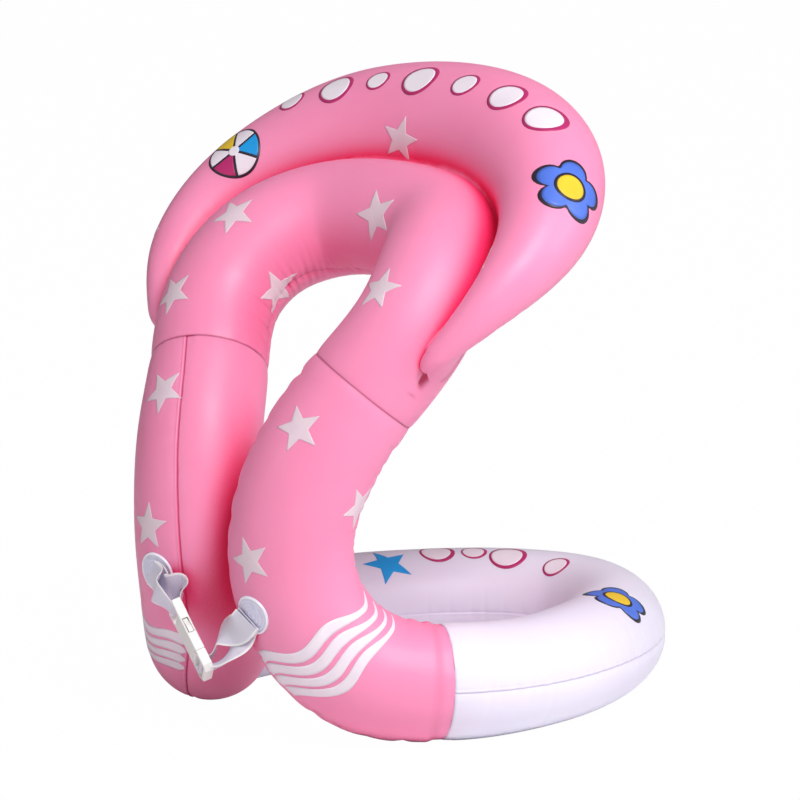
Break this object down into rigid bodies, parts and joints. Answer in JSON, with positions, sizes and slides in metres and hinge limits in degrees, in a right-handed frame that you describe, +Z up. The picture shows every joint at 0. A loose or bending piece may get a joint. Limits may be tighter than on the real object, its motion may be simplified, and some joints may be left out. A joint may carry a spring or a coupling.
{
  "type": "inflatable swim ring",
  "caption": "Wearable inflatable swim ring: U-shaped body tube, two front tubes, neck arch, crescent head collar, push-in valves and a strap with a side-release buckle.",
  "frame": {"origin": "under the middle of the whole ring's box, on the floor", "axes": "+Z up, -Y is the front, where the buckle is, +X is the right side seen from the front"},
  "size_m": [0.4238, 0.4926, 0.5138],
  "materials": {
    "pink_film": "satin",
    "white_film": "satin",
    "clear_vinyl": "gloss",
    "webbing": "satin",
    "buckle": "satin",
    "valve_vinyl": "gloss"
  },
  "bodies": {
    "root": {"body_ring": "white_film", "front_tube_left": "pink_film", "front_tube_right": "pink_film", "neck_arch": "pink_film", "head_collar": "pink_film", "patch_left": "clear_vinyl", "patch_right": "clear_vinyl", "ring_valve_flange": "valve_vinyl", "arch_valve_flange": "valve_vinyl", "collar_valve_flange": "valve_vinyl"},
    "ring_valve_stem_body": {"ring_valve_stem": "valve_vinyl"},
    "ring_valve_plug_body": {"ring_valve_plug": "valve_vinyl"},
    "ring_valve_flap_body": {"ring_valve_flap": "valve_vinyl"},
    "arch_valve_stem_body": {"arch_valve_stem": "valve_vinyl"},
    "arch_valve_plug_body": {"arch_valve_plug": "valve_vinyl"},
    "arch_valve_flap_body": {"arch_valve_flap": "valve_vinyl"},
    "collar_valve_stem_body": {"collar_valve_stem": "valve_vinyl"},
    "collar_valve_plug_body": {"collar_valve_plug": "valve_vinyl"},
    "collar_valve_flap_body": {"collar_valve_flap": "valve_vinyl"},
    "strap_body": {"strap_left": "webbing", "strap_right": "webbing", "buckle_socket": "buckle"},
    "plug_body": {"buckle_plug": "buckle"},
    "prong_left_body": {"latch_prong_left": "buckle"},
    "prong_right_body": {"latch_prong_right": "buckle"}
  },
  "joints": [
    {"name": "ring_valve_stem_slide", "type": "slide", "parent": "root", "child": "ring_valve_stem_body", "axis": [-0.6989, 0.485, 0.5256], "range_m": [0, 0.012]},
    {"name": "ring_valve_plug_swing", "type": "hinge", "parent": "ring_valve_stem_body", "child": "ring_valve_plug_body", "pos_m": [-0.13978, 0.1517, 0.06903], "axis": [0.4325, -0.2987, 0.8507], "range_deg": [0, 120]},
    {"name": "ring_valve_flap_swing", "type": "hinge", "parent": "ring_valve_stem_body", "child": "ring_valve_flap_body", "pos_m": [-0.12228, 0.14394, 0.05741], "axis": [-0.4325, 0.2987, -0.8507], "range_deg": [0, 25], "stiffness_Nm_per_rad": 0.000005},
    {"name": "arch_valve_stem_slide", "type": "slide", "parent": "root", "child": "arch_valve_stem_body", "axis": [-0.1963, 0.8469, -0.4942], "range_m": [0, 0.012]},
    {"name": "arch_valve_plug_swing", "type": "hinge", "parent": "arch_valve_stem_body", "child": "arch_valve_plug_body", "pos_m": [0.08647, -0.07914, 0.27139], "axis": [-0.9152, 0.0227, 0.4023], "range_deg": [0, 120]},
    {"name": "arch_valve_flap_swing", "type": "hinge", "parent": "arch_valve_stem_body", "child": "arch_valve_flap_body", "pos_m": [0.09208, -0.09595, 0.28509], "axis": [0.9152, -0.0227, -0.4023], "range_deg": [0, 25], "stiffness_Nm_per_rad": 0.000005},
    {"name": "collar_valve_stem_slide", "type": "slide", "parent": "root", "child": "collar_valve_stem_body", "axis": [-0.3272, 0.9253, 0.1919], "range_m": [0, 0.012]},
    {"name": "collar_valve_plug_swing", "type": "hinge", "parent": "collar_valve_stem_body", "child": "collar_valve_plug_body", "pos_m": [-0.10427, 0.10543, 0.46044], "axis": [-0.1086, -0.2386, 0.965], "range_deg": [0, 120]},
    {"name": "collar_valve_flap_swing", "type": "hinge", "parent": "collar_valve_stem_body", "child": "collar_valve_flap_body", "pos_m": [-0.09366, 0.08604, 0.45684], "axis": [0.1086, 0.2386, -0.965], "range_deg": [0, 25], "stiffness_Nm_per_rad": 0.000005},
    {"name": "strap_swing", "type": "hinge", "parent": "root", "child": "strap_body", "pos_m": [0.00162, -0.22258, 0.11209], "axis": [-0.9721, -0.0517, 0.2288], "range_deg": [0, 110], "deforming": ["strap_left", "strap_right"]},
    {"name": "plug_slide", "type": "slide", "parent": "strap_body", "child": "plug_body", "axis": [0.6157, 0, -0.788], "range_m": [0, 0.032], "deforming": ["strap_right", "latch_prong_left", "latch_prong_right"]},
    {"name": "latch_prong_left_flex", "type": "hinge", "parent": "plug_body", "child": "prong_left_body", "pos_m": [-0.00391, -0.22568, 0.0642], "axis": [0.4176, 0.848, 0.3263], "range_deg": [0, 12], "stiffness_Nm_per_rad": 0.0002},
    {"name": "latch_prong_right_flex", "type": "hinge", "parent": "plug_body", "child": "prong_right_body", "pos_m": [0.01119, -0.23766, 0.076], "axis": [-0.4176, -0.848, -0.3263], "range_deg": [0, 12], "stiffness_Nm_per_rad": 0.0002}
  ]
}
